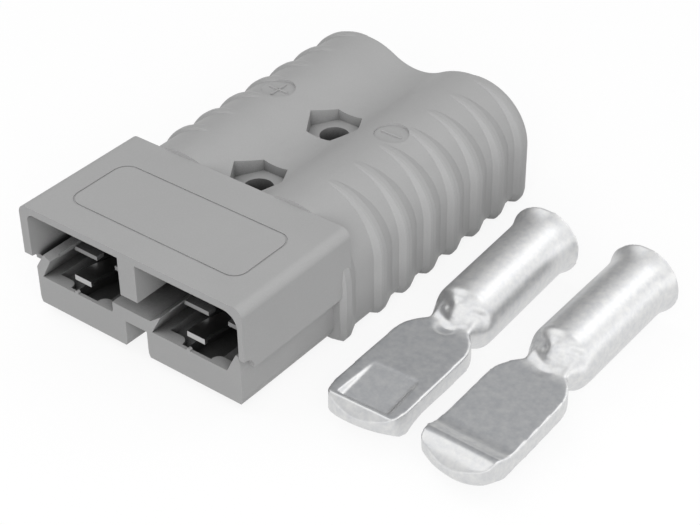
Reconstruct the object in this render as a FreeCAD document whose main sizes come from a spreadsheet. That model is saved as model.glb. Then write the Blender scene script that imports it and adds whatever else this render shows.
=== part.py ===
"""Hermaphroditic two-pole battery cable connector with its two crimp contacts.

Frame: X across the mating face, Y from the mating face to the cable end, Z up.
Origin: on the seating face, midway between the two mounting holes.
All lengths are millimetres.
"""
import FreeCAD, Part
import Sketcher
import math
import os
from FreeCAD import Placement, Rotation, Vector

doc = FreeCAD.newDocument("CableConnector")
sheet = doc.addObject("Spreadsheet::Sheet", "Dims")


# Sizes.
class Size:
    """A length that carries the sheet expression it came from."""

    def __init__(self, number, text):
        self.number = float(number)
        self.text = text

    def __add__(self, other):
        other = as_size(other)
        return Size(self.number + other.number, f"({self.text} + {other.text})")

    def __sub__(self, other):
        other = as_size(other)
        return Size(self.number - other.number, f"({self.text} - {other.text})")

    def __mul__(self, factor):
        factor = as_size(factor)
        return Size(self.number * factor.number, f"({self.text} * {factor.text})")

    def __neg__(self):
        return Size(-self.number, f"(0 - {self.text})")

    __radd__ = __add__
    __rmul__ = __mul__


def as_size(value):
    if isinstance(value, Size):
        return value
    return Size(value, f"({value!r})")


SIZES = {
    # housing, overall
    "total_length": 114.5,
    "top_height": 31.3,
    "body_start": 35.0,
    "hole_mid": 61.9,
    # two barrels of the body
    "barrel_x": 17.9,
    "barrel_z": 15.8,
    "barrel_radius": 16.5,
    "base_round": 3.0,
    "valley_brow": 8.0,
    "valley_bend": 16.0,
    "brow_height": 29.7,
    "brow_radius": 20.0,
    "rear_round": 2.0,
    # hood
    "hood_half": 35.0,
    "hood_length": 38.8,
    "hood_low": 13.4,
    "hood_wall_left": 2.6,
    "hood_wall_right": 1.5,
    "hood_plate": 2.0,
    "hood_depth": 34.0,
    "hood_round": 2.5,
    "hood_bend_left": 2.0,
    "hood_bend_right": 4.0,
    "hood_corner": 3.5,
    "rib_half": 2.7,
    "rib_low": 18.7,
    # contact troughs, one pitch apart
    "pole_pitch": 36.2,
    "trough_front": 1.5,
    "trough_left": 14.9,
    "trough_right": 14.4,
    "shoulder_left": 12.7,
    "shoulder_right": 12.0,
    "trough_rim": 17.2,
    "rim_left": 12.1,
    "rim_right": 13.8,
    "trough_round": 4.0,
    "key_low_left": 13.1,
    "key_high_left": 9.9,
    "key_low_right": 10.1,
    "key_high_right": 13.0,
    "key_top": 16.1,
    "sill_height": 10.3,
    "sill_depth": 3.2,
    "chamber_half": 10.3,
    "chamber_floor": 8.2,
    "chamber_end": 46.0,
    "chamber_roof": 17.4,
    "channel_half": 4.5,
    "channel_wall": 0.9,
    "channel_front": 5.7,
    "channel_back": 3.2,
    "channel_dip": 20.0,
    "belly_rise": 2.1,
    "web_left": 7.6,
    "web_right": 4.7,
    "web_low": 9.5,
    "web_high": 13.4,
    "sill_round": 2.0,
    "pip_left": 2.2,
    "pip_right": 1.2,
    "pip_height": 0.8,
    "ledge_front": 10.4,
    "ledge_depth": 2.4,
    "ledge_low": 14.3,
    "ledge_high": 15.5,
    "ledge_gap": 3.0,
    # cable entries
    "entry_radius": 12.0,
    "entry_height": 13.9,
    # mounting holes with hexagon recesses
    "hole_pitch": 30.2,
    "hole_radius": 3.9,
    "hex_flats": 13.4,
    "hex_floor": 24.9,
    # polarity recesses and label frame
    "mark_radius": 4.5,
    "mark_floor": 31.5,
    "mark_left": 18.7,
    "mark_right": 18.0,
    "mark_along": 77.3,
    "frame_half": 26.9,
    "frame_front": 8.0,
    "frame_back": 28.4,
    "frame_round": 4.0,
    "frame_line": 0.5,
    "frame_depth": 0.25,
    # grip beads
    "bead_first": 48.5,
    "bead_pitch": 10.15,
    "bead_height": 1.5,
    "bead_root": 1.0,
    "bead_crest_in": 1.36,
    "bead_crest_out": 3.4,
    "bead_mid": 5.5,
    "bead_mid_height": 0.7,
    "bead_end": 7.4,
    "collar_front": 35.0,
    "collar_end": 41.3,
    # leaf springs
    "leaf_half": 2.7,
    "leaf_thick": 0.9,
    "leaf_root": 44.0,
    "leaf_heel": 38.0,
    "leaf_play": 0.35,
    "leaf_tip": 2.6,
    "bridge_front": 39.5,
    "bridge_depth": 3.0,
    "bridge_height": 2.0,
    "leaf_tip_height": 15.0,
    "leaf_lip": 1.5,
    # crimp contacts
    "crimp_radius": 8.4,
    "crimp_bore": 6.1,
    "crimp_length": 42.9,
    "flare_start": 37.4,
    "flare_radius": 9.7,
    "flare_bore": 8.2,
    "flare_bend": 14.0,
    "tongue_half": 9.9,
    "tongue_thick": 4.8,
    "tongue_level": 2.3,
    "tongue_slope": 0.034,
    "tongue_tip": 37.8,
    "tip_edge": 36.0,
    "tip_bulge": 26.0,
    "ramp_foot": 26.2,
    "ramp_top": 31.4,
    "ramp_height": 1.5,
    "hump_front": 35.2,
    "hump_height": 1.35,
    "neck_half": 5.6,
    "shoulder_end": 9.8,
    "pocket_start": 21.5,
    "pocket_end": 34.8,
    "pocket_half": 6.2,
    "pocket_bevel": 1.4,
    "pocket_depth": 1.2,
    "pinch_high": 4.4,
    "pinch_wide": 5.4,
    "pinch_long": 3.4,
    "pinch_along": 3.6,
    "pinch_centre": 2.8,
    "dimple_radius": 9.0,
    "dimple_along": 1.4,
    "dimple_depth": 0.5,
}

for row, (alias, value) in enumerate(SIZES.items(), start=1):
    sheet.set(f"A{row}", alias)
    sheet.set(f"B{row}", str(value))
    sheet.setAlias(f"B{row}", alias)
doc.recompute()


def dim(alias):
    return Size(SIZES[alias], f"Dims.{alias}")


# Sketch and feature helpers.
def origin_part(body, role):
    return [item for item in body.Origin.OriginFeatures if item.Role == role][0]


def new_body(label):
    body = doc.addObject("PartDesign::Body", label)
    body.Label = label
    return body


def new_sketch(body, name, plane, height=0):
    """A sketch on an origin plane, moved along the plane's normal by height."""
    height = as_size(height)
    sketch = body.newObject("Sketcher::SketchObject", name)
    sketch.AttachmentSupport = [(origin_part(body, plane), "")]
    sketch.MapMode = "FlatFace"
    sketch.AttachmentOffset = Placement(Vector(0, 0, height.number), Rotation())
    sketch.setExpression("AttachmentOffset.Base.z", height.text)
    return sketch


def bind(sketch, kind, geometry, size):
    """One driving constraint whose value follows the sheet."""
    index = sketch.addConstraint(geometry_constraint(kind, geometry, size.number))
    sketch.setExpression(f"Constraints[{index}]", size.text)


def geometry_constraint(kind, geometry, number):
    return Sketcher.Constraint(kind, *geometry, number)


def pin(sketch, edge, end, point):
    """Fixes one end of an edge at a point given by two sizes."""
    for kind, axis, size in (("DistanceX", -2, point[0]), ("DistanceY", -1, point[1])):
        if size.number == 0:
            sketch.addConstraint(Sketcher.Constraint("PointOnObject", edge, end, axis))
        elif size.number > 0:
            bind(sketch, kind, (-1, 1, edge, end), size)
        else:
            bind(sketch, kind, (edge, end, -1, 1), -size)


def arc_through(start, end, radius, left):
    """An arc of a given radius; left says on which side of start-end its middle bulges."""
    chord = end - start
    half = chord.Length / 2
    sag = radius - math.sqrt(max(radius * radius - half * half, 0.0))
    side = Vector(-chord.y, chord.x, 0).normalize() * (sag if left else -sag)
    return Part.Arc(start, (start + end) * 0.5 + side, end)


def draw(sketch, points, closed=True):
    """Lines and arcs through points. A point is (x, y), or (x, y, radius, side) when the
    edge that leaves it is an arc of that radius that bulges to its left (1) or right (-1)."""
    sized = [(as_size(p[0]), as_size(p[1])) + tuple(p[2:]) for p in points]
    spots = [Vector(p[0].number, p[1].number, 0) for p in sized]
    count = len(sized) if closed else len(sized) - 1
    starts, ends = [], []
    for k in range(count):
        a, b = spots[k], spots[(k + 1) % len(spots)]
        if len(sized[k]) == 2:
            edge = sketch.addGeometry(Part.LineSegment(a, b), False)
            starts.append((edge, 1))
            ends.append((edge, 2))
            continue
        radius = as_size(sized[k][2])
        edge = sketch.addGeometry(arc_through(a, b, radius.number, sized[k][3] > 0), False)
        begins = (sketch.getPoint(edge, 1) - a).Length < (sketch.getPoint(edge, 2) - a).Length
        starts.append((edge, 1 if begins else 2))
        ends.append((edge, 2 if begins else 1))
        bind(sketch, "Radius", (edge,), radius)
    for k in range(count):
        pin(sketch, *starts[k], sized[k][:2])
        following = (k + 1) % count
        if closed or k + 1 < count:
            sketch.addConstraint(Sketcher.Constraint("Coincident", *ends[k], *starts[following]))
        else:
            pin(sketch, *ends[k], sized[k + 1][:2])


def draw_box(sketch, left, low, right, high):
    draw(sketch, [(left, low), (right, low), (right, high), (left, high)])


def draw_circle(sketch, x, y, radius):
    x, y, radius = as_size(x), as_size(y), as_size(radius)
    edge = sketch.addGeometry(Part.Circle(Vector(x.number, y.number, 0), Vector(0, 0, 1), radius.number))
    pin(sketch, edge, 3, (x, y))
    bind(sketch, "Radius", (edge,), radius)


def extrude(body, kind, name, sketch, length, back=False, both=False):
    """A Pad or Pocket of a sketch; back turns it to the other side of its plane."""
    length = as_size(length)
    feature = body.newObject(f"PartDesign::{kind}", name)
    feature.Profile = sketch
    feature.Length = length.number
    feature.setExpression("Length", length.text)
    feature.Reversed = back
    feature.Midplane = both
    return feature


def volume_now(body):
    doc.recompute()
    return body.Shape.Volume


def must_change(body, before, name):
    """A feature that left the volume alone points the wrong way."""
    after = volume_now(body)
    if abs(after - before) < 0.05:
        raise RuntimeError(f"{name} changed nothing")
    return after


def repeat_at_pitch(body, name, originals, volume):
    """The same features again one pole pitch to the right."""
    pattern = body.newObject("PartDesign::LinearPattern", name)
    pattern.Originals = originals
    pattern.Direction = (origin_part(body, "X_Axis"), [""])
    pattern.Length = SIZES["pole_pitch"]
    pattern.setExpression("Length", "Dims.pole_pitch")
    pattern.Occurrences = 2
    body.Tip = pattern
    return must_change(body, volume, name)


def edges_where(shape, test):
    return [f"Edge{k}" for k, edge in enumerate(shape.Edges, start=1) if test(edge)]


# Housing.
def build_housing():
    """The moulded housing: body with two barrels, hood, two troughs, web and divider."""
    body = new_body("housing")
    volume = 0.0

    # Two joined barrels with a valley between them, from the collar to the cable end.
    side = dim("barrel_x") + dim("barrel_radius")
    crest = dim("barrel_z") + dim("barrel_radius")
    sketch = new_sketch(body, "BarrelSection", "XZ_Plane", -dim("body_start"))
    right = [
        (side - dim("base_round"), 0, dim("base_round"), -1),
        (side, dim("base_round")),
        (side, dim("barrel_z"), dim("barrel_radius"), -1),
        (dim("barrel_x"), crest, dim("brow_radius"), -1),
        (dim("valley_brow"), dim("brow_height"), dim("valley_bend"), 1),
    ]
    left = [
        (-dim("valley_brow"), dim("brow_height"), dim("brow_radius"), -1),
        (-dim("barrel_x"), crest, dim("barrel_radius"), -1),
        (-side, dim("barrel_z")),
        (-side, dim("base_round"), dim("base_round"), -1),
        (-(side - dim("base_round")), 0),
    ]
    draw(sketch, right + left)
    barrels = extrude(body, "Pad", "Barrels", sketch, dim("total_length") - dim("body_start"), back=True)
    volume = must_change(body, volume, "Barrels")

    # The rounded rim at the cable end.
    rear = SIZES["total_length"]
    rim = edges_where(barrels.Shape, lambda e: abs(e.BoundBox.YMin - rear) < 0.01)
    fillet = body.newObject("PartDesign::Fillet", "RearRim")
    fillet.Base = (barrels, rim)
    fillet.Radius = SIZES["rear_round"]
    fillet.setExpression("Radius", "Dims.rear_round")
    volume = must_change(body, volume, "RearRim")

    # Collar and grip beads: one toothed profile swept up each flank and over the shoulder.
    volume = add_grip(body, side, volume)

    # Hood: a flat tunnel over the troughs, open below.
    sketch = new_sketch(body, "HoodSection", "XZ_Plane")
    out = dim("hood_half")
    top = dim("top_height")
    bend = dim("hood_round")
    draw(sketch, [
        (-out, dim("hood_low")),
        (out, dim("hood_low")),
        (out, top - bend, bend, -1),
        (out - bend, top),
        (-(out - bend), top, bend, -1),
        (-out, top - bend),
    ])
    extrude(body, "Pad", "Hood", sketch, dim("hood_length"), back=True)
    volume = must_change(body, volume, "Hood")

    sketch = new_sketch(body, "HoodMouthSection", "XZ_Plane")
    inner_left = out - dim("hood_wall_left")
    inner_right = out - dim("hood_wall_right")
    ceiling = top - dim("hood_plate")
    bend_left = dim("hood_bend_left")
    bend_right = dim("hood_bend_right")
    draw(sketch, [
        (-inner_left, dim("hood_low") - 20),
        (inner_right, dim("hood_low") - 20),
        (inner_right, ceiling - bend_right, bend_right, -1),
        (inner_right - bend_right, ceiling),
        (-(inner_left - bend_left), ceiling, bend_left, -1),
        (-inner_left, ceiling - bend_left),
    ])
    extrude(body, "Pocket", "HoodMouth", sketch, dim("hood_depth"))
    volume = must_change(body, volume, "HoodMouth")

    # The barrels stand a little higher than the hood and start behind it.
    sketch = new_sketch(body, "HoodStepSection", "YZ_Plane")
    draw_box(sketch, dim("body_start") - 2, top, dim("hood_length"), top + 4)
    extrude(body, "Pocket", "HoodStep", sketch, 80, both=True)
    volume = must_change(body, volume, "HoodStep")

    # The side walls' lower front corners are rounded.
    sketch = new_sketch(body, "HoodCornerSection", "YZ_Plane")
    corner = dim("hood_corner")
    draw(sketch, [
        (-1, dim("hood_low") - 1),
        (corner, dim("hood_low") - 1),
        (corner, dim("hood_low"), corner, -1),
        (0, dim("hood_low") + corner),
        (-1, dim("hood_low") + corner),
    ])
    extrude(body, "Pocket", "HoodCorners", sketch, 80, both=True)
    volume = must_change(body, volume, "HoodCorners")

    # Divider that hangs from the hood's ceiling.
    sketch = new_sketch(body, "DividerSection", "XZ_Plane")
    draw_box(sketch, -dim("rib_half"), dim("rib_low"), dim("rib_half"), ceiling + 0.5)
    extrude(body, "Pad", "Divider", sketch, dim("hood_depth") + 0.5, back=True)
    volume = must_change(body, volume, "Divider")

    # Two troughs: the left one is drawn, the right one is one pitch away.
    volume = add_troughs(body, volume)

    volume = cut_chambers(body, volume)

    # Web that joins the troughs; the walls at its ends are cut down to meet it.
    sketch = new_sketch(body, "WebClearance", "XZ_Plane")
    draw_box(sketch, -dim("web_left") - 0.6, dim("web_high"), 0, dim("trough_rim") + 1)
    extrude(body, "Pocket", "WebTop", sketch, dim("ledge_front") - 0.8)
    volume = must_change(body, volume, "WebTop")
    sketch = new_sketch(body, "WebSlopeSection", "XZ_Plane")
    key_right = dim("pole_pitch") * 0.5 - dim("key_high_left")
    draw(sketch, [
        (dim("web_right") - 2.2, dim("web_high")),
        (dim("web_right"), dim("web_high")),
        (key_right, dim("key_top")),
        (key_right, dim("trough_rim") + 1),
        (dim("web_right") - 2.2, dim("trough_rim") + 1),
    ])
    extrude(body, "Pocket", "WebSlope", sketch, dim("hood_depth"))
    volume = must_change(body, volume, "WebSlope")
    sketch = new_sketch(body, "WebSection", "XZ_Plane", -dim("trough_front"))
    draw_box(sketch, -dim("web_left"), dim("web_low"), dim("web_right"), dim("web_high"))
    extrude(body, "Pad", "Web", sketch, dim("body_start") - dim("trough_front") + 0.5, back=True)
    volume = must_change(body, volume, "Web")
    volume = cut_mounting(body, volume)
    volume = cut_marks(body, volume)

    # Round cable entries from the rear face to the contact chambers.
    sketch = new_sketch(body, "EntrySection", "XZ_Plane", -dim("total_length"))
    draw_circle(sketch, dim("pole_pitch") * 0.5, dim("entry_height"), dim("entry_radius"))
    draw_circle(sketch, -(dim("pole_pitch") * 0.5), dim("entry_height"), dim("entry_radius"))
    extrude(body, "Pocket", "CableEntries", sketch, dim("total_length") - dim("chamber_end"), back=True)
    volume = must_change(body, volume, "CableEntries")

    # Nothing reaches below the seating face.
    sketch = new_sketch(body, "SeatingTrim", "XY_Plane")
    draw_box(sketch, -45, -5, 45, 125)
    extrude(body, "Pocket", "SeatingFace", sketch, 5)
    volume_now(body)
    return body


def add_grip(body, side, volume):
    """Seven beads and the collar, as one profile in plan that follows the flank."""
    path = new_sketch(body, "GripPath", "XZ_Plane", -dim("collar_front"))
    ring = dim("barrel_radius") - dim("bead_height")
    ring_x = side - ring
    lift = math.radians(6)
    draw(path, [
        (side - dim("base_round"), as_size(0), dim("base_round"), -1),
        (side, dim("base_round")),
        (side, dim("barrel_z"), ring, -1),
        (ring_x - ring * math.sin(lift), dim("barrel_z") + ring * math.cos(lift)),
    ], closed=False)

    profile = new_sketch(body, "GripProfile", "XY_Plane", dim("barrel_z"))
    root = side - dim("bead_root")
    crest = side + dim("bead_height")
    points = [(root, dim("collar_front")), (side - 0.3, dim("collar_front"))]
    points += [
        (crest, dim("collar_front") + 0.9),
        (crest, dim("collar_front") + 2.9),
        (side, dim("collar_end")),
    ]
    for k in range(7):
        start = dim("bead_first") + dim("bead_pitch") * k
        points += [
            (side, start),
            (crest - 0.14, start + dim("bead_crest_in")),
            (crest, start + dim("bead_crest_in") + 0.7),
            (crest - 0.08, start + dim("bead_crest_out")),
            (side + dim("bead_mid_height"), start + dim("bead_mid") - 0.4 * (k == 6)),
        ]
        if k < 6:
            points.append((side, start + dim("bead_end")))
    last = dim("bead_first") + dim("bead_pitch") * 6
    points += [(root, last + dim("bead_mid") - 0.4)]
    draw(profile, points)

    sweep = body.newObject("PartDesign::AdditivePipe", "GripRight")
    sweep.Profile = profile
    sweep.Spine = (path, [])
    sweep.Transition = "Right corner"
    volume = must_change(body, volume, "GripRight")

    mirror = body.newObject("PartDesign::Mirrored", "GripLeft")
    mirror.Originals = [sweep]
    mirror.MirrorPlane = (origin_part(body, "YZ_Plane"), [""])
    body.Tip = mirror
    return must_change(body, volume, "GripLeft")


def add_troughs(body, volume):
    """The outer form of both troughs, with a tapered belly."""
    centre = -(dim("pole_pitch") * 0.5)
    sketch = new_sketch(body, "TroughSection", "XZ_Plane", -dim("trough_front"))
    bend = dim("trough_round")
    outer_left = centre - dim("trough_left")
    outer_right = centre + dim("trough_right")
    draw(sketch, [
        (outer_left + bend, 0),
        (outer_right - bend, 0, bend, -1),
        (outer_right, bend),
        (outer_right, dim("shoulder_right")),
        (centre + dim("rim_right"), dim("key_top")),
        (centre - dim("key_high_left"), dim("key_top")),
        (centre - dim("rim_left"), dim("trough_rim")),
        (outer_left, dim("shoulder_left")),
        (outer_left, bend, bend, -1),
    ])
    pad = extrude(body, "Pad", "TroughLeft", sketch, dim("body_start") - dim("trough_front") + 0.5, back=True)
    volume = must_change(body, volume, "TroughLeft")
    volume = repeat_at_pitch(body, "TroughPair", [pad], volume)

    # The belly rises towards the mating face.
    sketch = new_sketch(body, "BellySection", "YZ_Plane")
    draw(sketch, [
        (dim("trough_front") - 0.5, 0),
        (dim("hood_depth"), 0),
        (dim("trough_front") - 0.5, dim("belly_rise")),
    ])
    extrude(body, "Pocket", "Belly", sketch, 80, both=True)
    return must_change(body, volume, "Belly")


def cut_chambers(body, volume):
    """Inside of each trough, cut once for the left pole and repeated one pitch away."""
    centre = -(dim("pole_pitch") * 0.5)
    cuts = []

    # Keyed mouth above the sill, open to the front and the top.
    sketch = new_sketch(body, "MouthSection", "XZ_Plane")
    draw(sketch, [
        (centre - dim("key_low_left"), dim("sill_height")),
        (centre + dim("key_low_right"), dim("sill_height")),
        (centre + dim("key_high_right"), dim("key_top")),
        (centre + dim("key_high_right"), dim("trough_rim") + 1.2),
        (centre - dim("key_high_left"), dim("trough_rim") + 1.2),
        (centre - dim("key_high_left"), dim("key_top")),
    ])
    cuts.append(extrude(body, "Pocket", "Mouth", sketch, dim("hood_depth")))
    volume = must_change(body, volume, "Mouth")

    # Chamber floor behind the sill, where the contact's tongue lies.
    sketch = new_sketch(body, "ChamberSection", "XZ_Plane", -(dim("trough_front") + dim("sill_depth")))
    draw_box(sketch, centre - dim("chamber_half"), dim("chamber_floor"),
             centre + dim("chamber_half"), dim("chamber_roof"))
    cuts.append(extrude(body, "Pocket", "Chamber", sketch,
                        dim("chamber_end") + 0.5 - dim("trough_front") - dim("sill_depth")))
    volume = must_change(body, volume, "Chamber")

    # Channel in the floor for the leaf spring.
    sketch = new_sketch(body, "ChannelSection", "YZ_Plane", centre)
    front = dim("trough_front") + dim("channel_wall")
    draw(sketch, [
        (front, dim("channel_front")),
        (dim("channel_dip"), dim("channel_back")),
        (dim("chamber_end") + 0.5, dim("channel_back")),
        (dim("chamber_end") + 0.5, dim("sill_height") + 0.5),
        (front, dim("sill_height") + 0.5),
    ])
    cuts.append(extrude(body, "Pocket", "Channel", sketch, dim("channel_half") * 2, both=True))
    volume = must_change(body, volume, "Channel")

    # The sill's inner corners beside the channel are rounded.
    sketch = new_sketch(body, "SillCornerSection", "XY_Plane", dim("chamber_floor"))
    bend = dim("sill_round")
    edge = dim("trough_front") + dim("sill_depth")
    half = dim("channel_half")
    draw(sketch, [
        (centre - half - bend, edge, bend, 1),
        (centre - half, edge - bend),
        (centre - half + 0.5, edge - bend),
        (centre - half + 0.5, edge + 0.5),
        (centre - half - bend, edge + 0.5),
    ])
    draw(sketch, [
        (centre + half + bend, edge, bend, -1),
        (centre + half, edge - bend),
        (centre + half - 0.5, edge - bend),
        (centre + half - 0.5, edge + 0.5),
        (centre + half + bend, edge + 0.5),
    ])
    cuts.append(extrude(body, "Pocket", "SillCorners", sketch, 4, back=True))
    volume = must_change(body, volume, "SillCorners")
    volume = repeat_at_pitch(body, "ChamberPair", cuts, volume)

    # A small pip stands on the thin wall before each channel.
    sketch = new_sketch(body, "PipSection", "XZ_Plane", -(dim("trough_front") + 0.01))
    foot = dim("sill_height") - 0.3
    draw(sketch, [
        (centre - dim("pip_left"), foot),
        (centre - dim("pip_right"), foot),
        (centre - dim("pip_right"), dim("sill_height") + dim("pip_height") * 0.5, 0.6, -1),
        (centre - dim("pip_left"), dim("sill_height") + dim("pip_height") * 0.5),
    ])
    pip = extrude(body, "Pad", "Pip", sketch, dim("channel_wall") - 0.02, back=True)
    volume = must_change(body, volume, "Pip")
    volume = repeat_at_pitch(body, "Pips", [pip], volume)

    # A bridge over the channel holds the root of the leaf spring.
    sketch = new_sketch(body, "BridgeSection", "XZ_Plane", -dim("bridge_front"))
    low = dim("channel_back") + dim("leaf_play") * 2 + dim("leaf_thick")
    reach = dim("channel_half") + 0.4
    draw_box(sketch, centre - reach, low, centre + reach, low + dim("bridge_height"))
    bridge = extrude(body, "Pad", "Bridge", sketch, dim("bridge_depth"), back=True)
    volume = must_change(body, volume, "Bridge")
    volume = repeat_at_pitch(body, "Bridges", [bridge], volume)

    # Two small ledges over each chamber hold the contact down.
    sketch = new_sketch(body, "LedgeSection", "XZ_Plane", -dim("ledge_front"))
    wall = dim("chamber_half") + 0.4
    far_wall = dim("key_high_right") - 0.1
    draw_box(sketch, centre - wall, dim("ledge_low"), centre - dim("ledge_gap"), dim("ledge_high"))
    draw_box(sketch, centre + dim("ledge_gap"), dim("ledge_low"), centre + far_wall, dim("ledge_high"))
    ledges = extrude(body, "Pad", "Ledges", sketch, dim("ledge_depth"), back=True)
    volume = must_change(body, volume, "Ledges")
    return repeat_at_pitch(body, "LedgePairs", [ledges], volume)


def cut_mounting(body, volume):
    """Two through holes with hexagon recesses in the valley."""
    flat = dim("hex_flats") * 0.5
    corner = dim("hex_flats") * (1 / math.sqrt(3))
    sketch = new_sketch(body, "HexSection", "XY_Plane", dim("hex_floor"))
    holes = new_sketch(body, "HoleSection", "XY_Plane")
    for sign in (-1, 1):
        y = dim("hole_mid") + dim("hole_pitch") * (0.5 * sign)
        draw(sketch, [
            (corner, y), (corner * 0.5, y + flat), (-(corner * 0.5), y + flat),
            (-corner, y), (-(corner * 0.5), y - flat), (corner * 0.5, y - flat),
        ])
        draw_circle(holes, 0, y, dim("hole_radius"))
    extrude(body, "Pocket", "HexRecesses", sketch, 10, back=True)
    volume = must_change(body, volume, "HexRecesses")
    extrude(body, "Pocket", "MountingHoles", holes, 40, back=True)
    return must_change(body, volume, "MountingHoles")


def cut_marks(body, volume):
    """Two round polarity recesses on the barrels and the engraved label frame on the hood."""
    sketch = new_sketch(body, "MarkSection", "XY_Plane", dim("mark_floor"))
    draw_circle(sketch, -dim("mark_left"), dim("mark_along"), dim("mark_radius"))
    draw_circle(sketch, dim("mark_right"), dim("mark_along"), dim("mark_radius"))
    extrude(body, "Pocket", "PolarityMarks", sketch, 4, back=True)
    volume = must_change(body, volume, "PolarityMarks")

    sketch = new_sketch(body, "FrameSection", "XY_Plane", dim("top_height") - dim("frame_depth"))
    for inset in (as_size(0), dim("frame_line")):
        x = dim("frame_half") - inset
        low = dim("frame_front") + inset
        high = dim("frame_back") - inset
        bend = dim("frame_round") - inset
        draw(sketch, [
            (bend - x, low), (x - bend, low, bend, -1),
            (x, low + bend), (x, high - bend, bend, -1),
            (x - bend, high), (bend - x, high, bend, -1),
            (-x, high - bend), (-x, low + bend, bend, -1),
        ])
    extrude(body, "Pocket", "LabelFrame", sketch, 2, back=True)
    return must_change(body, volume, "LabelFrame")


# Leaf springs.
def build_leaf(label):
    """A steel leaf that rises from the chamber floor to a turned-down tip."""
    body = new_body(label)
    sketch = new_sketch(body, "LeafSection", "YZ_Plane")
    low = dim("channel_back") + dim("leaf_play")
    thick = dim("leaf_thick")
    tip = dim("leaf_tip_height")
    draw(sketch, [
        (dim("leaf_root"), low),
        (dim("leaf_root"), low + thick),
        (dim("leaf_heel"), low + thick, 110, -1),
        (dim("leaf_tip") + 2.4, tip),
        (dim("leaf_tip"), tip),
        (dim("leaf_tip"), tip - dim("leaf_lip")),
        (dim("leaf_tip") + thick, tip - dim("leaf_lip")),
        (dim("leaf_tip") + thick, tip - thick),
        (dim("leaf_tip") + 2.4, tip - thick, 111, 1),
        (dim("leaf_heel"), low),
    ])
    extrude(body, "Pad", "Leaf", sketch, dim("leaf_half") * 2, both=True)
    volume_now(body)
    return body


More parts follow.
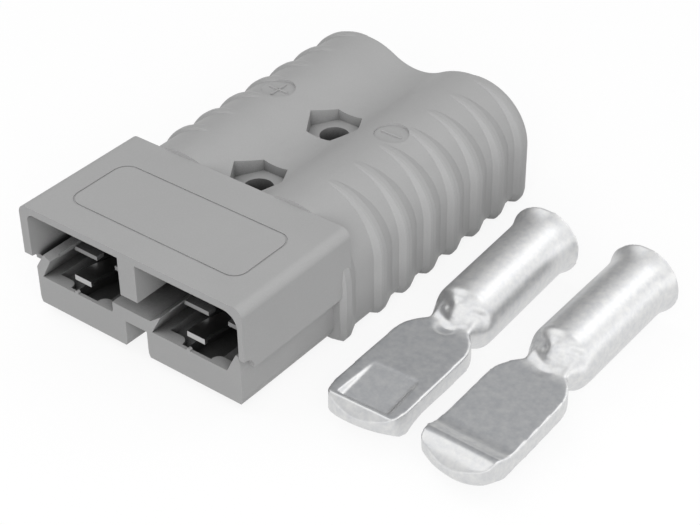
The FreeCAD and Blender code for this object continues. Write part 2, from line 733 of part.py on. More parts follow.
# Crimp contacts.
def build_contact(label):
    """A crimp barrel with a flared mouth, pinched and pressed flat into a tongue.

    Local frame: origin on the barrel's axis at the neck, +Y to the cable, wiping face up."""
    body = new_body(label)
    volume = 0.0
    level = dim("tongue_level")
    thick = dim("tongue_thick")

    def face(along):
        """Height of the wiping face, which falls slightly towards the tip."""
        return level - dim("tongue_slope") * dim(along)

    # Tongue in side view, with a hump across its tip and a slanted end face.
    sketch = new_sketch(body, "TongueProfile", "YZ_Plane")
    draw(sketch, [
        (3.0, level),
        (-dim("ramp_foot"), face("ramp_foot"), 10.5, 1),
        (-dim("ramp_top"), face("ramp_foot") + dim("ramp_height") - 0.3, 3.2, -1),
        (-dim("hump_front"), face("ramp_foot") + dim("hump_height") - 0.4, 4.2, -1),
        (-(dim("tongue_tip") + 0.3), face("tongue_tip") - thick * 0.42),
        (-dim("tip_edge"), face("tip_edge") - thick),
        (3.0, level - thick),
    ])
    extrude(body, "Pad", "Tongue", sketch, dim("tongue_half") * 2, both=True)
    volume = must_change(body, volume, "Tongue")

    # Plan outline: narrow neck, round shoulders, bowed tip with rounded corners.
    sketch = new_sketch(body, "TongueOutline", "XY_Plane", -12)
    half = dim("tongue_half")
    neck = dim("neck_half")
    outer = half + 3
    tip = -dim("tongue_tip")
    for sign in (1, -1):
        draw(sketch, [
            (neck * sign, 4.0),
            (neck * sign, -0.4, 12, sign),
            (half * sign, -dim("shoulder_end")),
            (outer * sign, -dim("shoulder_end")),
            (outer * sign, 4.0),
        ])
        draw(sketch, [
            (half * sign, tip + 6.0),
            ((half - 0.5) * sign, tip + 3.2, 2.8, sign),
            ((half - 2.7) * sign, tip + 1.0),
            ((half - 2.7) * sign, tip - 3),
            (outer * sign, tip - 3),
            (outer * sign, tip + 6.0),
        ])
    extrude(body, "Pocket", "TongueSides", sketch, 24, back=True)
    volume = must_change(body, volume, "TongueSides")
    sketch = new_sketch(body, "TipOutline", "XY_Plane", -12)
    draw(sketch, [
        (-(half - 2.7), tip + 1.0, dim("tip_bulge"), -1),
        (half - 2.7, tip + 1.0),
        (half - 2.7, tip - 4),
        (-(half - 2.7), tip - 4),
    ])
    extrude(body, "Pocket", "TipBow", sketch, 24, back=True)
    volume = must_change(body, volume, "TipBow")

    # Latch pocket in the underside: it deepens to the lip and its sides are bevelled.
    shallow = new_sketch(body, "LatchStart", "XZ_Plane", dim("pocket_start"))
    start_face = face("pocket_start") - thick
    reach = dim("pocket_half")
    draw(shallow, [
        (-reach - 0.1, start_face - 0.8),
        (reach + 0.1, start_face - 0.8),
        (reach, start_face + 0.02),
        (-reach, start_face + 0.02),
    ])
    deep = new_sketch(body, "LatchEnd", "XZ_Plane", dim("pocket_end"))
    end_face = face("pocket_end") - thick
    bevel = dim("pocket_bevel")
    draw(deep, [
        (-reach - bevel, end_face - 0.8),
        (reach + bevel, end_face - 0.8),
        (reach, end_face + dim("pocket_depth")),
        (-reach, end_face + dim("pocket_depth")),
    ])
    pocket = body.newObject("PartDesign::SubtractiveLoft", "LatchPocket")
    pocket.Profile = shallow
    pocket.Sections = [deep]
    pocket.Ruled = True
    volume = must_change(body, volume, "LatchPocket")

    # A shallow round dimple in each face before the pinch.
    for name, side in (("Upper", 1), ("Lower", -1)):
        surface = level if side > 0 else level - thick
        lift = surface.number + side * (SIZES["dimple_radius"] - SIZES["dimple_depth"])
        dimple = body.newObject("PartDesign::SubtractiveSphere", f"{name}Dimple")
        dimple.Radius = SIZES["dimple_radius"]
        dimple.setExpression("Radius", "Dims.dimple_radius")
        dimple.Placement = Placement(Vector(0, -SIZES["dimple_along"], lift), Rotation())
        volume = must_change(body, volume, f"{name}Dimple")

    # Pinched neck: the round barrel closes to the flat tongue over a short length.
    wall = dim("crimp_radius")
    middle = level - thick * 0.5
    stations = [
        ("NeckBarrel", 7.6, wall * 0.7036, wall * 0.7036, wall * 0.995, wall * 0.995, as_size(0)),
        ("NeckShoulder", 4.4, as_size(5.7), as_size(5.5), wall * 1.02, wall * 1.02, as_size(0)),
        ("NeckPinch", 1.5, as_size(5.3), as_size(3.3), as_size(14), as_size(5.6), middle * 0.5),
        ("NeckFlat", -1.2, neck, thick * 0.46, as_size(90), as_size(7), middle),
    ]
    sections = []
    for name, along, x, z, crown, flank, centre in stations:
        sketch = new_sketch(body, name, "XZ_Plane", -along)
        draw(sketch, [
            (-x, centre - z, crown, -1),
            (x, centre - z, flank, -1),
            (x, centre + z, crown, -1),
            (-x, centre + z, flank, -1),
        ])
        sections.append(sketch)
    loft = body.newObject("PartDesign::AdditiveLoft", "Neck")
    loft.Profile = sections[0]
    loft.Sections = sections[1:]
    loft.Ruled = False
    volume = must_change(body, volume, "Neck")

    # Folded wall: a rounded bulge above and below the pinch.
    for name, side in (("Upper", 1), ("Lower", -1)):
        bulge = body.newObject("PartDesign::AdditiveEllipsoid", f"{name}Bulge")
        for key, alias in (("Radius1", "pinch_high"), ("Radius2", "pinch_wide"), ("Radius3", "pinch_long")):
            setattr(bulge, key, SIZES[alias])
            bulge.setExpression(key, f"Dims.{alias}")
        bulge.Placement = Placement(Vector(0, SIZES["pinch_along"], side * SIZES["pinch_centre"]), Rotation())
        volume = must_change(body, volume, f"{name}Bulge")

    # Barrel with a flared mouth, turned about its axis.
    sketch = new_sketch(body, "BarrelProfile", "YZ_Plane")
    end = dim("crimp_length")
    draw(sketch, [
        (7.5, 0),
        (8.5, 0),
        (10.0, dim("crimp_bore")),
        (dim("flare_start"), dim("crimp_bore")),
        (end, dim("flare_bore")),
        (end, dim("flare_radius"), dim("flare_bend"), 1),
        (dim("flare_start"), wall),
        (7.5, wall),
    ])
    turned = body.newObject("PartDesign::Revolution", "Barrel")
    turned.Profile = sketch
    turned.ReferenceAxis = (sketch, ["H_Axis"])
    turned.Angle = 360
    volume = must_change(body, volume, "Barrel")
    return body


def rest_on_floor(body, x, y, turn_deg, flipped):
    """Lays a contact on its barrel and flare, tongue towards the viewer."""
    rise = SIZES["flare_radius"] - SIZES["crimp_radius"]
    lean = math.degrees(math.atan2(rise, SIZES["crimp_length"] - 8.0))
    turn = Rotation(Vector(0, 0, 1), turn_deg).multiply(Rotation(Vector(1, 0, 0), lean))
    if flipped:
        turn = turn.multiply(Rotation(Vector(0, 1, 0), 180))
    body.Placement = Placement(Vector(0, 0, 0), turn)
    doc.recompute()
    low = body.Shape.optimalBoundingBox(True, False).ZMin
    body.Placement = Placement(Vector(x, y, -low), turn)


# Assembly.
housing = build_housing()
leaf_left = build_leaf("leaf_spring_left")
leaf_right = build_leaf("leaf_spring_right")
contact_left = build_contact("contact_underside_up")
contact_right = build_contact("contact_face_up")

shift = -SIZES["hole_mid"]
pole = SIZES["pole_pitch"] / 2
housing.Placement = Placement(Vector(0, shift, 0), Rotation())
leaf_left.Placement = Placement(Vector(-pole, shift, 0), Rotation())
leaf_right.Placement = Placement(Vector(pole, shift, 0), Rotation())
rest_on_floor(contact_left, 58.9, 45.9 + shift, 1.4, True)
rest_on_floor(contact_right, 85.1, 46.7 + shift, -0.7, False)
doc.recompute()

# Checks and files.
for item in doc.Objects:
    if "Invalid" in item.State or "Error" in item.State:
        raise RuntimeError(f"{item.Label} did not build: {item.State}")

os.makedirs("parts", exist_ok=True)
for piece in (housing, leaf_left, leaf_right, contact_left, contact_right):
    shape = piece.Shape
    if shape.isNull() or not shape.isValid():
        raise RuntimeError(f"{piece.Label} is not a valid solid")
    box = shape.optimalBoundingBox(True, False)
    print(f"{piece.Label}: {len(shape.Solids)} solid, {shape.Volume / 1000:.1f} cm3, "
          f"x {box.XMin:.1f} to {box.XMax:.1f}, y {box.YMin:.1f} to {box.YMax:.1f}, "
          f"z {box.ZMin:.1f} to {box.ZMax:.1f}")
    shape.exportStep(f"parts/{piece.Label}.step")
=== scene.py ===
# %% [markdown]
# # A cable connector and its two contacts
# The real thing is a moulded plastic housing, two steel leaf springs inside it and two
# plated copper contacts that lie beside it. Their shapes come finished from the frame.
# This notebook gives them their surfaces, wears the contacts' edges round, adds the few
# ribs that are finer than the frame's own detail, and sets everything on a white table
# under soft light.

# %% Load the frame
import math

import bmesh
import bpy
from mathutils import Matrix, Vector


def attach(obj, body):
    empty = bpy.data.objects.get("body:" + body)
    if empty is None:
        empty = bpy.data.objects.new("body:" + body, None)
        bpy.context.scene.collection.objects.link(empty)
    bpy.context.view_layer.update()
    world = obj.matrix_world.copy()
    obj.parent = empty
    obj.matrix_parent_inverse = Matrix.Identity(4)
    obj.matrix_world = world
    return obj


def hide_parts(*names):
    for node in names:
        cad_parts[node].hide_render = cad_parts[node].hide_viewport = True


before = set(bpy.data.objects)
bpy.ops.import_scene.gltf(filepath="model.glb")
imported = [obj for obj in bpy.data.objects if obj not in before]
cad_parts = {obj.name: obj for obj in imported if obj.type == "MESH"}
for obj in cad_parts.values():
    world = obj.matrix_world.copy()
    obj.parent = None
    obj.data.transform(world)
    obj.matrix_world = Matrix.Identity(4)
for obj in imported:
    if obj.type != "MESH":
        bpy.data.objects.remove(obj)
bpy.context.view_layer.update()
MM = 0.001


print("nodes:", sorted(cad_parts))

# %% [markdown]
# ## Helpers for objects
# Every lamp, draft and piece is put into the scene in the same way, so one function does
# it. A draft carries modifiers, and the second function turns it into a plain mesh with
# the modifiers' result in it.

# %% Put an object in the scene, and finish a draft
def put(name, data):
    """A new object in the scene that shows the data."""
    made = bpy.data.objects.new(name, data)
    bpy.context.scene.collection.objects.link(made)
    return made


def finished_mesh(draft):
    """The draft with its modifiers applied, as a plain mesh. The draft itself goes."""
    evaluated = draft.evaluated_get(bpy.context.evaluated_depsgraph_get())
    mesh = bpy.data.meshes.new_from_object(evaluated)
    bpy.data.objects.remove(draft)
    return mesh


print("helpers for objects are ready")

# %% [markdown]
# ## Camera
# The photograph was taken from in front, from the right and from well above, with a long
# lens, so lines that run away from the camera hardly close in. The place, the direction
# and the lens were fitted to the straight edges of the housing. The Standard view shows
# each tone as it is computed, so a colour comes out about as it is written.

# %% Camera
EYE = Vector((242.54, -285.80, 266.36)) * MM
FORWARD = Vector((-0.50105, 0.63345, -0.58965))
RIGHT = Vector((0.78913, 0.61414, -0.01080))
SENSOR_WIDTH, LENS = 36.0, 90.8          # millimetres
NEAREST, FARTHEST = 0.01, 20.0           # metres

up = RIGHT.cross(FORWARD).normalized()
right = FORWARD.cross(up).normalized()
camera = put("camera", bpy.data.cameras.new("camera"))
camera.data.sensor_width = SENSOR_WIDTH
camera.data.lens = LENS
camera.data.clip_start = NEAREST
camera.data.clip_end = FARTHEST
turned = Matrix((right, up, -FORWARD)).transposed().to_4x4()
camera.matrix_world = Matrix.Translation(EYE) @ turned
bpy.context.scene.camera = camera
bpy.context.scene.view_settings.view_transform = "Standard"
print("camera at", [round(value / MM) for value in EYE], "mm")

# %% [markdown]
# ## Helpers for materials
# A hex colour is how a screen shows it, so one function turns it into linear light. The
# next one feeds a node's inputs, each with a link or with a fixed value, and the third
# adds a node, sets its properties and feeds it in one line.

# %% Small helpers
def linear(hex_colour):
    """sRGB hex to a linear RGBA tuple."""
    channels = [int(hex_colour[k:k + 2], 16) / 255 for k in (0, 2, 4)]
    light = [c / 12.92 if c <= 0.04045 else ((c + 0.055) / 1.055) ** 2.4 for c in channels]
    return (*light, 1.0)


def feed(tree, node, links):
    """Join a node's inputs, by name or number, to sockets or set them to values."""
    for socket, source in links.items():
        if isinstance(source, bpy.types.NodeSocket):
            tree.links.new(source, node.inputs[socket])
        else:
            node.inputs[socket].default_value = source


def add(tree, kind, links=None, **values):
    """One node: values set its properties, links feed its inputs."""
    node = tree.nodes.new(kind)
    for key, value in values.items():
        setattr(node, key, value)
    feed(tree, node, links or {})
    return node


def new_material(name):
    """A material with its node tree and its surface shader."""
    material = bpy.data.materials.new(name)
    material.use_nodes = True
    tree = material.node_tree
    return material, tree, tree.nodes["Principled BSDF"]


print("mid grey in linear light:", round(linear("808080")[0], 3))

# %% [markdown]
# ## Moulded plastic
# The housing is polycarbonate, moulded in a steel tool whose faces were spark-eroded. That
# leaves a very fine grain: it breaks up the gloss and gives a soft sheen. The grain is
# about 0.1 mm, which is finer than a pixel here, so it is drawn at about 0.36 mm. Slow
# waves of about 8 mm keep the large faces from looking dead flat, and the colour drifts by
# a hair every 30 mm or so, where the melt has flowed. A noise's scale is the number of its
# cells in a metre.

# %% Sizes and tones of the plastic
GRAIN_SCALE, WAVE_SCALE, FLOW_SCALE = 2800.0, 120.0, 35.0
PLASTIC_TONES = ("9f9fa0", "a5a5a5")
print("grain, waves and flow in mm:",
      [round(1 / scale / MM, 2) for scale in (GRAIN_SCALE, WAVE_SCALE, FLOW_SCALE)])

# %% [markdown]
# ### Painted shade in closed-in places
# Deep in the mouth the plastic looks nearly black, because hardly any light finds its way
# in and out again. Wide soft lamps reach further in than that, so this shade is painted
# into the colour: the Ambient Occlusion node tells how open a place is, and the colour is
# mixed towards near-black where walls stand close on most sides. It looks at the housing
# alone, so the table doesn't count as a wall. The share of open directions at which the
# painted shade begins and ends was matched to the photograph.

# %% Paint shade into what is closed in
# painted shade: the near-black that closed-in places are mixed towards
PAINTED_SHADE_TONE = "121212"
CLOSED_REACH = 35 * MM
CLOSED_AT, OPEN_AT = 0.07, 0.45
LEAST_COLOUR = 0.05


def paint_shade_closed_in(tree, colour):
    """The colour in open places, with painted shade to near-black in closed-in ones."""
    around = add(tree, "ShaderNodeAmbientOcclusion", {"Distance": CLOSED_REACH},
                 samples=12, only_local=True)
    open_share = add(tree, "ShaderNodeMapRange", {
        "Value": around.outputs["AO"], "From Min": CLOSED_AT, "From Max": OPEN_AT,
        "To Min": LEAST_COLOUR, "To Max": 1.0}, interpolation_type="SMOOTHSTEP")
    shade = add(tree, "ShaderNodeMix", {
        "Factor": open_share.outputs["Result"], "A": linear(PAINTED_SHADE_TONE), "B": colour},
        data_type="RGBA")
    return shade.outputs["Result"]


print("walls count up to", round(CLOSED_REACH / MM), "mm away")

# %% [markdown]
# ### The plastic itself
# Polycarbonate bends light strongly, so its index is high, but the eroded grain scatters
# most of the gloss. Two bumps follow each other: the waves first and the grain on top.

# %% Grey moulded polycarbonate
def moulded_polycarbonate():
    material, tree, shader = new_material("polycarbonate, moulded with a spark-eroded grain")
    place = add(tree, "ShaderNodeTexCoord").outputs["Object"]
    grain = add(tree, "ShaderNodeTexNoise", {
        "Vector": place, "Scale": GRAIN_SCALE, "Detail": 3.0, "Roughness": 0.6})
    sink = add(tree, "ShaderNodeTexNoise", {"Vector": place, "Scale": WAVE_SCALE, "Detail": 1.0})
    flow = add(tree, "ShaderNodeTexNoise", {
        "Vector": place, "Scale": FLOW_SCALE, "Detail": 3.0, "Distortion": 1.5})
    colour = add(tree, "ShaderNodeMix", {
        "Factor": flow.outputs["Fac"], "A": linear(PLASTIC_TONES[0]),
        "B": linear(PLASTIC_TONES[1])}, data_type="RGBA")
    speck = add(tree, "ShaderNodeMix", {
        "Factor": 0.12, "A": colour.outputs["Result"], "B": grain.outputs["Color"]},
        data_type="RGBA", blend_type="OVERLAY")
    grey = add(tree, "ShaderNodeHueSaturation", {
        "Saturation": 0.1, "Color": speck.outputs["Result"]})
    waves = add(tree, "ShaderNodeBump", {
        "Height": sink.outputs["Fac"], "Strength": 0.10, "Distance": 0.6 * MM})
    bump = add(tree, "ShaderNodeBump", {
        "Height": grain.outputs["Fac"], "Strength": 0.16, "Distance": 0.04 * MM,
        "Normal": waves.outputs["Normal"]})
    rough = add(tree, "ShaderNodeMapRange", {
        "Value": grain.outputs["Fac"], "To Min": 0.40, "To Max": 0.52})
    # the base colour carries painted shade in closed-in places
    feed(tree, shader, {
        "Base Color": paint_shade_closed_in(tree, grey.outputs["Color"]),
        "Roughness": rough.outputs["Result"], "Normal": bump.outputs["Normal"],
        "IOR": 1.58, "Specular IOR Level": 0.30})
    return material


plastic = moulded_polycarbonate()
print("made:", plastic.name)

# %% [markdown]
# ## Tin-plated copper
# Each contact is a copper tube, pressed flat at one end, and tin-plated in a tumbling
# barrel. The plate is satin, not a mirror: fine crystals blur what it reflects, and knocks
# from the other contacts leave small dents and pale spots. Metal shows its surroundings,
# so most of its look comes from the roughness and from a low bump. The real crystals are
# finer than a pixel, so they are drawn at about half a millimetre. The forming punch
# polishes in streaks along the tube, which a noise stretched along Y gives.

# %% Sizes and tones of the plate
CRYSTAL_SCALE, KNOCK_SCALE, STREAK_SCALE, CLOUD_SCALE = 1900.0, 420.0, 900.0, 620.0
STREAK_SQUEEZE = (1.0, 0.16, 1.0)
PLATE_TONES = ("cccdcf", "dededd")
print("crystals, knocks, streaks and clouds in mm:", [
    round(1 / scale / MM, 1) for scale in (CRYSTAL_SCALE, KNOCK_SCALE, STREAK_SCALE, CLOUD_SCALE)])

# %% [markdown]
# ### Painted shade on the flats
# The flat faces of the tongues get painted shade, which makes them look a little greyer
# than the tube. They are the level faces in front of the necks, so the surface's direction
# and the place along Y pick them out. Their own colour is multiplied down, which keeps its
# spots.

# %% Paint shade on the flats
# painted shade: the tone that the flats' colour is multiplied by
FLAT_SHADE_TONE = "dadbdd"
NOT_LEVEL, LEVEL = 0.965, 0.992
SHADE_FROM, SHADE_FULLY = -16 * MM, -19 * MM       # along Y, from the neck to the tongue


def paint_shade_on_flats(tree, place, colour):
    """The colour, multiplied down on the tongues' level faces as painted shade."""
    normal = add(tree, "ShaderNodeNewGeometry").outputs["Normal"]
    facing = add(tree, "ShaderNodeSeparateXYZ", {"Vector": normal})
    upright = add(tree, "ShaderNodeMath", {0: facing.outputs["Z"]}, operation="ABSOLUTE")
    level = add(tree, "ShaderNodeMapRange", {
        "Value": upright.outputs[0], "From Min": NOT_LEVEL, "From Max": LEVEL})
    spot = add(tree, "ShaderNodeSeparateXYZ", {"Vector": place})
    tongue = add(tree, "ShaderNodeMapRange", {
        "Value": spot.outputs["Y"], "From Min": SHADE_FROM, "From Max": SHADE_FULLY})
    flat_shade = add(tree, "ShaderNodeMath", {0: level.outputs[0], 1: tongue.outputs[0]},
                  operation="MULTIPLY")
    shaded = add(tree, "ShaderNodeMix", {
        "Factor": flat_shade.outputs[0], "A": colour, "B": linear(FLAT_SHADE_TONE)},
        data_type="RGBA", blend_type="MULTIPLY")
    return shaded.outputs["Result"]


print("flats are fully dulled from Y", round(SHADE_FULLY / MM), "mm to the tip")

# %% [markdown]
# ### The plate itself
# Pale spots are also a little rougher, so one cloudy noise drives both the colour and the
# roughness. Three bumps follow each other: dents, streaks and crystals.

# %% Satin tin plate
def tin_plate():
    material, tree, shader = new_material("copper tube, formed and barrel-plated with tin")
    place = add(tree, "ShaderNodeTexCoord").outputs["Object"]
    along = add(tree, "ShaderNodeMapping", {"Vector": place, "Scale": STREAK_SQUEEZE})
    crystal = add(tree, "ShaderNodeTexNoise", {
        "Vector": place, "Scale": CRYSTAL_SCALE, "Detail": 3.0, "Roughness": 0.65})
    knock = add(tree, "ShaderNodeTexNoise", {"Vector": place, "Scale": KNOCK_SCALE, "Detail": 2.0})
    streak = add(tree, "ShaderNodeTexNoise", {
        "Vector": along.outputs["Vector"], "Scale": STREAK_SCALE, "Detail": 3.0})
    cloud = add(tree, "ShaderNodeTexNoise", {
        "Vector": place, "Scale": CLOUD_SCALE, "Detail": 4.0, "Roughness": 0.6})
    spots = {"Value": cloud.outputs["Fac"], "From Min": 0.3, "From Max": 0.7}
    tone = add(tree, "ShaderNodeMapRange", spots)
    colour = add(tree, "ShaderNodeMix", {
        "Factor": tone.outputs["Result"], "A": linear(PLATE_TONES[0]),
        "B": linear(PLATE_TONES[1])}, data_type="RGBA")
    satin = add(tree, "ShaderNodeMapRange", {**spots, "To Min": 0.33, "To Max": 0.40})
    dents = add(tree, "ShaderNodeBump", {
        "Height": knock.outputs["Fac"], "Strength": 0.10, "Distance": 0.10 * MM})
    lines = add(tree, "ShaderNodeBump", {
        "Height": streak.outputs["Fac"], "Strength": 0.16, "Distance": 0.05 * MM,
        "Normal": dents.outputs["Normal"]})
    bump = add(tree, "ShaderNodeBump", {
        "Height": crystal.outputs["Fac"], "Strength": 0.40, "Distance": 0.04 * MM,
        "Normal": lines.outputs["Normal"]})
    # the base colour carries painted shade on the tongues' flats
    feed(tree, shader, {
        "Base Color": paint_shade_on_flats(tree, place, colour.outputs["Result"]),
        "Roughness": satin.outputs["Result"], "Normal": bump.outputs["Normal"],
        "Metallic": 1.0})
    return material


plate = tin_plate()
print("made:", plate.name)

# %% [markdown]
# ## Rolled spring steel
# The leaves are cut from cold-rolled strip. The rolls leave fine lines along the strip,
# about 0.05 mm apart, which catch the light as a brushed sheen. Here they are drawn four
# times as wide so that they show.

# %% Stainless spring strip
ROLL_SCALE = 5000.0
ROLL_SQUEEZE = (1.0, 0.03, 1.0)
STEEL_TONE = "b4b4b4"


def spring_strip():
    material, tree, shader = new_material("stainless steel, cold-rolled spring strip")
    place = add(tree, "ShaderNodeTexCoord").outputs["Object"]
    along = add(tree, "ShaderNodeMapping", {"Vector": place, "Scale": ROLL_SQUEEZE})
    rolled = add(tree, "ShaderNodeTexNoise", {
        "Vector": along.outputs["Vector"], "Scale": ROLL_SCALE, "Detail": 2.0})
    satin = add(tree, "ShaderNodeMapRange", {
        "Value": rolled.outputs["Fac"], "To Min": 0.24, "To Max": 0.42})
    bump = add(tree, "ShaderNodeBump", {
        "Height": rolled.outputs["Fac"], "Strength": 0.15, "Distance": 0.02 * MM})
    feed(tree, shader, {
        "Base Color": linear(STEEL_TONE), "Roughness": satin.outputs["Result"],
        "Normal": bump.outputs["Normal"], "Metallic": 1.0})
    return material


steel = spring_strip()
print("made:", steel.name)

# %% [markdown]
# ## Surfaces for the frame's own pieces
# The housing and the leaves keep the shapes that they have in the frame, and only get
# their surfaces. The contacts get theirs below, on smoothed copies.

# %% Give the nodes their surfaces
SURFACES = {"housing": plastic, "leaf_spring_left": steel, "leaf_spring_right": steel}
for name, surface in SURFACES.items():
    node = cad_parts[name]
    node.data.materials.clear()
    node.data.materials.append(surface)
    print(name, "->", surface.name)

# %% [markdown]
# ## Tumbled contacts
# Pressing leaves sharp edges, and tumbling in the plating barrel knocks them round. On the
# real contacts every edge is a thin bright line for that reason. The frame's edges are
# sharp, so each contact is copied, rebuilt from even cells of 0.32 mm and smoothed, which
# rounds every edge alike. Each contact lies at its own angle, so the shaping below goes by
# a point at its neck and by the direction along its tube, from the tip to the barrel.

# %% Where each contact lies
CELL = 0.32 * MM
MERGE_WITHIN = 0.002 * MM
NECKS = {
    "contact_underside_up": (Vector((58.90, -16.0, 8.3)) * MM, Vector((0.025, 0.9991, 0.033))),
    "contact_face_up": (Vector((85.10, -15.2, 8.3)) * MM, Vector((-0.0122, 0.9993, 0.033))),
}


def across_tube(along):
    """The level direction square to the tube."""
    return along.cross(Vector((0, 0, 1))).normalized()


def rebuilt_from_cells(name):
    """A copy of a contact's mesh, rebuilt from small even cells."""
    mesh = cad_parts[name].data.copy()
    work = bmesh.new()
    work.from_mesh(mesh)
    bmesh.ops.remove_doubles(work, verts=work.verts, dist=MERGE_WITHIN)
    work.to_mesh(mesh)
    work.free()
    draft = put(name + "_draft", mesh)
    cells = draft.modifiers.new("cells", "REMESH")
    cells.mode = "VOXEL"
    cells.voxel_size = CELL
    return finished_mesh(draft)


print("contacts to tumble:", list(NECKS))

# %% [markdown]
# ### Creases at the neck
# Where the tube is pinched flat, the metal folds: a crease runs in from each side of the
# barrel. Each crease is a line on the upper side, drawn in millimetres across and along
# the tube, and every point near it is pressed in, by less the further away it is.

# %% Fold the neck
FOLDS = [((-7.0, 4.4), (-2.0, 1.4)), ((7.0, 4.4), (2.0, 1.4))]
FOLD_DEPTH, FOLD_WIDTH = 1.15, 1.3       # millimetres
FOLD_REACH = 9                           # no crease further than this along the tube
LEAST_FACING = 0.1                       # only what faces up is pressed,
FACING_GAIN = 2                          # and fully once it faces up by half


def nearest_fold(spot):
    """How strongly the nearest crease presses at a spot, from 0 to 1."""
    press = 0.0
    for ends in FOLDS:
        a, b = Vector(ends[0]), Vector(ends[1])
        t = min(1.0, max(0.0, (spot - a).dot(b - a) / (b - a).length_squared))
        press = max(press, math.exp(-((spot - a - t * (b - a)).length / FOLD_WIDTH) ** 2))
    return press


def fold_neck(work, start, along):
    """Press the creases into the upper side of the neck."""
    across = across_tube(along)
    out = across.cross(along).normalized()
    work.normal_update()
    for vert in work.verts:
        offset = (vert.co - start) / MM
        x, y = offset.dot(across), offset.dot(along)
        facing = vert.normal.dot(out)
        if abs(y) > FOLD_REACH or facing < LEAST_FACING:
            continue
        press = nearest_fold(Vector((x, y)))
        vert.co -= vert.normal * press * min(1.0, facing * FACING_GAIN) * FOLD_DEPTH * MM


print("creases:", len(FOLDS))

# %% [markdown]
# ### A tip like a bow
# The tip of each tongue is rounded under like the bow of a boat, so that it slides over
# the mating contact. Its lower corners are lifted by a share of their depth, and its lower
# middle is pushed forward. The two contacts show different sides, so each has its own
# amounts.

# %% Bow the nose
NOSE_START, NOSE_LENGTH, NOSE_HALF = -31.0, 6.8, 9.9       # millimetres
BOWS = {"contact_underside_up": (0.25, 1.6), "contact_face_up": (0.60, 2.6)}


def bow_nose(work, start, along, lift, push):
    """Lift the tip's lower corners and push its lower middle forward."""
    across = across_tube(along)
    nose = [v for v in work.verts if (v.co - start).dot(along) / MM < NOSE_START]
    top = max(v.co.z for v in nose)
    for vert in nose:
        offset = (vert.co - start) / MM
        reach = min(1.0, (NOSE_START - offset.dot(along)) / NOSE_LENGTH)
        corner = min(1.0, (offset.dot(across) / NOSE_HALF) ** 2)
        low = (top - vert.co.z) / top
        vert.co.z += (top - vert.co.z) * lift * corner * reach
        vert.co -= along * push * MM * (1 - corner) * reach * low


print("lift and push of each tip:", BOWS)

# %% [markdown]
# ### Melt the neck into the barrel
# The pinch and the barrel are one piece of metal, so nothing between them is crisp. The
# neck gets many smoothing passes in its middle and fewer towards its ends, so the
# smoothing fades out and leaves no border.

# %% Smooth the neck
SMOOTHING = {"factor": 0.5, "use_axis_x": True, "use_axis_y": True, "use_axis_z": True}
EDGE_PASSES, NECK_PASSES = 2, 18
NECK_MIDDLE, NECK_REACH = 1.0, 6.5       # millimetres along the tube


def neck_weight(point, start, along):
    """1 in the middle of the neck, falling to 0 at both its ends."""
    distance = (point - start).dot(along) / MM
    return max(0.0, 1.0 - abs(distance - NECK_MIDDLE) / NECK_REACH)


def melt_neck(work, start, along):
    """Smooth each point as often as its weight says."""
    near = [(v, neck_weight(v.co, start, along)) for v in work.verts]
    for turn in range(NECK_PASSES):
        part = [v for v, weight in near if weight * NECK_PASSES > turn]
        bmesh.ops.smooth_vert(work, verts=part, **SMOOTHING)


print("smoothing passes:", EDGE_PASSES, "everywhere, up to", NECK_PASSES, "at the neck")

# %% [markdown]
# ### Make both contacts
# The steps follow the real order: round the edges, crease the neck, bow the tip, and let
# the neck run into the barrel. The copy then stands for the frame's own contact.

# %% Tumble the contacts
def tumbled(name):
    """A contact as it leaves the plating barrel."""
    start, along = NECKS[name]
    mesh = rebuilt_from_cells(name)
    work = bmesh.new()
    work.from_mesh(mesh)
    for _ in range(EDGE_PASSES):
        bmesh.ops.smooth_vert(work, verts=work.verts, **SMOOTHING)
    fold_neck(work, start, along)
    bow_nose(work, start, along, *BOWS[name])
    melt_neck(work, start, along)
    for face in work.faces:
        face.smooth = True
    work.to_mesh(mesh)
    work.free()
    mesh.name = name + "_plated"
    mesh.materials.clear()
    mesh.materials.append(plate)
    piece = put(name + "_plated", mesh)
    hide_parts(name)
    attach(piece, "root")
    return piece


for name in NECKS:
    piece = tumbled(name)
    print(piece.name, len(piece.data.polygons), "faces")

# %% [markdown]
# ## Polarity signs
# Each barrel carries a shallow round recess with a sign moulded in it: a plus on the left
# and a minus on the right. All three strokes are the same low rib, so Geometry Nodes puts
# one rib on three points and turns the second one by a quarter. Each rib is sunk by half
# in the floor of its recess and stays below the barrel's skin.

# %% Where the ribs stand
SIGN_Y, SIGN_FLOOR = 15.4, 31.5          # millimetres
PLUS_X, MINUS_X = -18.7, 18.0
strokes = bpy.data.meshes.new("sign_points")
strokes.from_pydata(
    [(x * MM, SIGN_Y * MM, SIGN_FLOOR * MM) for x in (PLUS_X, PLUS_X, MINUS_X)], [], [])
turns = strokes.attributes.new("turn", "FLOAT", "POINT")
for item, angle in zip(turns.data, (0.0, math.pi / 2, 0.0)):
    item.value = angle
print("ribs:", len(strokes.vertices))

# %% A tree that stands one rib on every point
RIB_SIZES = (("Length", 6.2), ("Width", 0.5), ("Height", 0.9))       # millimetres


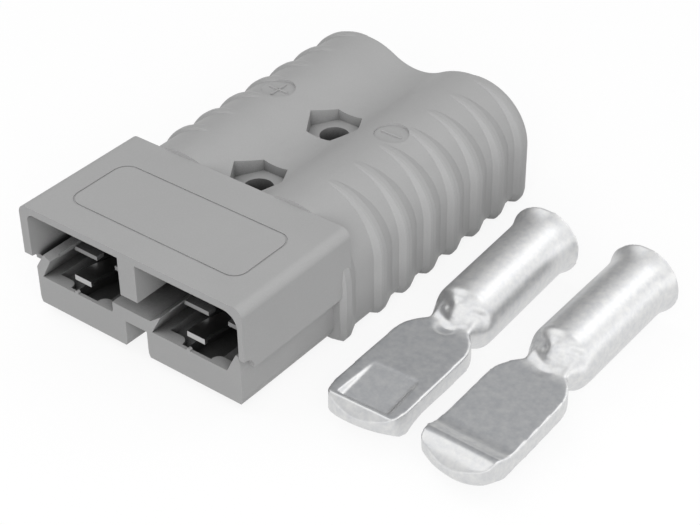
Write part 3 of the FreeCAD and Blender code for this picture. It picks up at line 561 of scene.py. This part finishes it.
def rib_tree():
    tree = bpy.data.node_groups.new("ribs on points", "GeometryNodeTree")
    tree.interface.new_socket("Geometry", in_out="INPUT", socket_type="NodeSocketGeometry")
    tree.interface.new_socket("Geometry", in_out="OUTPUT", socket_type="NodeSocketGeometry")
    for label, value in RIB_SIZES:
        socket = tree.interface.new_socket(label, in_out="INPUT", socket_type="NodeSocketFloat")
        socket.default_value = value * MM
    given = add(tree, "NodeGroupInput").outputs
    size = add(tree, "ShaderNodeCombineXYZ", {
        "X": given["Length"], "Y": given["Width"], "Z": given["Height"]})
    rib = add(tree, "GeometryNodeMeshCube", {"Size": size.outputs["Vector"]})
    turn = add(tree, "GeometryNodeInputNamedAttribute", {"Name": "turn"}, data_type="FLOAT")
    about_z = add(tree, "ShaderNodeCombineXYZ", {"Z": turn.outputs["Attribute"]})
    stand = add(tree, "GeometryNodeInstanceOnPoints", {
        "Points": given["Geometry"], "Instance": rib.outputs["Mesh"],
        "Rotation": about_z.outputs["Vector"]})
    real = add(tree, "GeometryNodeRealizeInstances", {"Geometry": stand.outputs["Instances"]})
    dressed = add(tree, "GeometryNodeSetMaterial", {
        "Geometry": real.outputs["Geometry"], "Material": plastic})
    add(tree, "NodeGroupOutput", {"Geometry": dressed.outputs["Geometry"]})
    return tree


ribs = rib_tree()
print("tree:", ribs.name, "with", len(ribs.nodes), "nodes")

# %% Make the signs
RIB_EDGE = 0.12 * MM
draft = put("sign_draft", strokes)
draft.modifiers.new("ribs", "NODES").node_group = ribs
soften = draft.modifiers.new("soft edges", "BEVEL")
soften.width = RIB_EDGE
soften.segments = 2
sign_mesh = finished_mesh(draft)
sign_mesh.name = "polarity_signs"
signs = put("polarity_signs", sign_mesh)
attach(signs, "root")
print("signs:", len(sign_mesh.polygons), "faces")

# %% [markdown]
# ## A white table
# The table is seen as white and keeps only a light shadow: rays from the camera, and
# rays that bounce off metal, see a mix of a lit board and a plain white glow. Other rays
# see a grey board, because a white one would throw light up into the open mouth, which
# is dark in the photograph. The board lies a hair below the connector, so their faces
# never share a plane.

# %% Floor
FLOOR_HALF, FLOOR_HEIGHT = 3.0, -0.2 * MM
GLOW_SHARE = 0.85
BOARD_TONE, DULL_TONE = "ffffff", "8c8c8c"

floor_mesh = bpy.data.meshes.new("floor")
floor_mesh.from_pydata([(x * FLOOR_HALF, y * FLOOR_HALF, FLOOR_HEIGHT)
                        for x, y in ((-1, -1), (1, -1), (1, 1), (-1, 1))], [], [(0, 1, 2, 3)])
floor = put("floor", floor_mesh)
floor_material, tree, shader = new_material("white studio board")
rays = add(tree, "ShaderNodeLightPath").outputs
seen = add(tree, "ShaderNodeMath", {0: rays["Is Camera Ray"], 1: rays["Is Glossy Ray"]},
           operation="MAXIMUM")
seen = add(tree, "ShaderNodeMath", {0: seen.outputs[0], 1: rays["Is Transmission Ray"]},
           operation="MAXIMUM")
board = add(tree, "ShaderNodeBsdfDiffuse", {"Color": linear(BOARD_TONE)})
glow = add(tree, "ShaderNodeEmission", {"Color": linear(BOARD_TONE), "Strength": 1.0})
bright = add(tree, "ShaderNodeMixShader", {0: GLOW_SHARE, 1: board.outputs[0], 2: glow.outputs[0]})
dull = add(tree, "ShaderNodeBsdfDiffuse", {"Color": linear(DULL_TONE)})
pick = add(tree, "ShaderNodeMixShader", {
    0: seen.outputs[0], 1: dull.outputs[0], 2: bright.outputs[0]})
feed(tree, tree.nodes["Material Output"], {"Surface": pick.outputs[0]})
tree.nodes.remove(shader)
floor_mesh.materials.append(floor_material)
print("floor:", 2 * FLOOR_HALF, "m square")

# %% [markdown]
# ## Light
# Large soft lamps give the plastic nearly the same tone on top, in front and on the right,
# as the photograph has. They stand high, so little light gets under the hood. The key
# lamp is left out of reflections, because it would burn out the metal. The lamp behind on
# the right draws the long pale streak on each contact's barrel.

# %% Lights
AIM = Vector((0.03, 0.0, 0.015))         # metres; every lamp faces this point


def area_light(name, place, size, power):
    """A square soft lamp in metres and watts that faces the connector."""
    data = bpy.data.lights.new(name, "AREA")
    data.shape = "SQUARE"
    data.size = size
    data.energy = power
    lamp = put(name, data)
    lamp.location = place
    lamp.rotation_euler = (AIM - Vector(place)).to_track_quat("-Z", "Y").to_euler()
    print(name, "at", place, "m,", power, "W")
    return lamp


area_light("top softbox", (-0.60, -0.05, 0.90), 0.9, 2.2)
area_light("key softbox", (0.74, -0.84, 0.52), 1.20, 13.0).visible_glossy = False
area_light("streak softbox", (0.42, 0.70, 0.76), 0.50, 0.5)

# %% [markdown]
# ## Sky
# The room is made of the world's background, and each kind of ray gets the part that it
# needs. The camera sees plain white. Metal sees a room whose tone changes with height,
# with a brighter wall on the right and in front: the bands of tone give the tubes their
# shape. Everything else gets a weaker light that fades towards the floor, so little of
# it gets under the hood.

# %% The room that metal sees
# Tones by height, from the horizon at 0 to straight up at 1. A new ramp has two stops,
# which take the first two rows, and the other rows are added.
SKY_TONES = ((0.0, "d8d8d8"), (1.0, "969696"), (0.10, "b8b8b8"), (0.45, "969696"), (0.75, "b0b0b0"))
RIGHT_WALL, FRONT_WALL = 3.3, 2.4        # how many times as bright as the left and the back
WHITE = linear("ffffff")

world = bpy.data.worlds.new("studio")
world.use_nodes = True
bpy.context.scene.world = world
sky = world.node_tree
for node in list(sky.nodes):
    sky.nodes.remove(node)
place = add(sky, "ShaderNodeTexCoord").outputs["Generated"]
heading = add(sky, "ShaderNodeSeparateXYZ", {"Vector": place})
ramp = add(sky, "ShaderNodeValToRGB", {"Fac": heading.outputs["Z"]})
stops = ramp.color_ramp.elements
for stop, (height, tone) in zip(list(stops), SKY_TONES):
    stop.position = height
    stop.color = linear(tone)
for height, tone in SKY_TONES[2:]:
    stops.new(height).color = linear(tone)
from_right = add(sky, "ShaderNodeMapRange", {
    "Value": heading.outputs["X"], "From Min": -0.80, "From Max": 0.30,
    "To Min": 1.0, "To Max": RIGHT_WALL}, interpolation_type="SMOOTHSTEP")
from_front = add(sky, "ShaderNodeMapRange", {
    "Value": heading.outputs["Y"], "From Min": 0.1, "From Max": -0.7,
    "To Min": 1.0, "To Max": FRONT_WALL}, interpolation_type="SMOOTHSTEP")
wall = add(sky, "ShaderNodeMath", {0: from_right.outputs[0], 1: from_front.outputs[0]},
           operation="MAXIMUM")
mirrored = add(sky, "ShaderNodeBackground", {
    "Color": ramp.outputs["Color"], "Strength": wall.outputs[0]})
print("tones by height:", [(round(stop.position, 2), round(stop.color[0], 2)) for stop in stops])

# %% Light for everything else, and white for the camera
dim = add(sky, "ShaderNodeMapRange", {
    "Value": heading.outputs["Z"], "From Min": 0.05, "From Max": 0.75,
    "To Min": 0.42, "To Max": 0.60})
lit = add(sky, "ShaderNodeBackground", {"Color": WHITE, "Strength": dim.outputs["Result"]})
white = add(sky, "ShaderNodeBackground", {"Color": WHITE, "Strength": 1.0})
rays = add(sky, "ShaderNodeLightPath").outputs
other = add(sky, "ShaderNodeMixShader", {
    0: rays["Is Glossy Ray"], 1: lit.outputs[0], 2: mirrored.outputs[0]})
direct = add(sky, "ShaderNodeMath", {0: rays["Is Camera Ray"], 1: rays["Is Transmission Ray"]},
             operation="MAXIMUM")
pick = add(sky, "ShaderNodeMixShader", {
    0: direct.outputs[0], 1: other.outputs[0], 2: white.outputs[0]})
add(sky, "ShaderNodeOutputWorld", {"Surface": pick.outputs[0]})
print("sky nodes:", len(sky.nodes))
